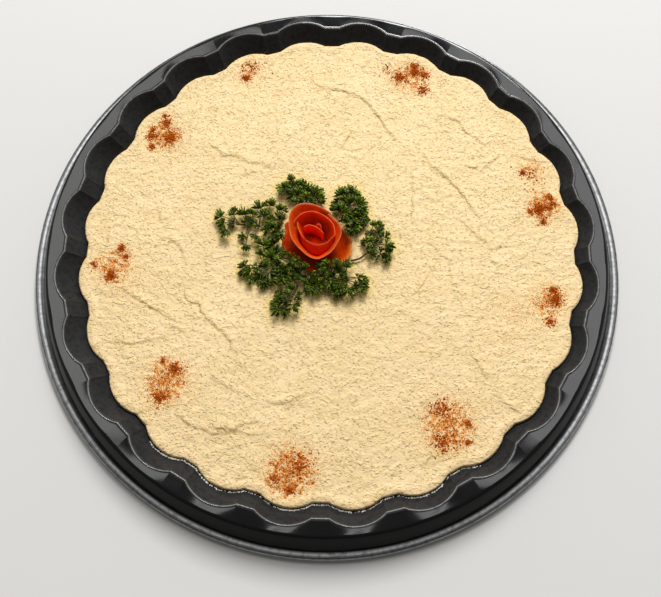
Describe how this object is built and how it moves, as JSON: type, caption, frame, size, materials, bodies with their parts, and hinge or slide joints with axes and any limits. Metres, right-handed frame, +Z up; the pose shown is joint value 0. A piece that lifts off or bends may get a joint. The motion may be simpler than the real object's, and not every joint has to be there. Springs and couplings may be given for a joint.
{
  "type": "hummus",
  "caption": "Round fluted black catering tray of hummus, dusted with paprika at the rim, with a tomato peel rose and curly parsley in the middle",
  "frame": {"origin": "middle of the tray's underside, on the surface that the tray stands on", "axes": "+Z up out of the tray, -Y towards the guest, +X to the right as seen from the guest's side"},
  "size_m": [0.406, 0.406, 0.0352],
  "materials": {
    "tray": "glossy, moulded sheet",
    "hummus": "soft, matt, spread with a knife",
    "tomato": "wet skin and flesh",
    "parsley": "waxy leaf"
  },
  "bodies": {
    "root": {"tray": "tray", "hummus": "hummus", "tomato_rose": "tomato", "parsley_back_left": "parsley", "parsley_back_right": "parsley", "parsley_left": "parsley", "parsley_front_left": "parsley", "parsley_front": "parsley", "parsley_front_right": "parsley", "parsley_right": "parsley"}
  },
  "joints": []
}
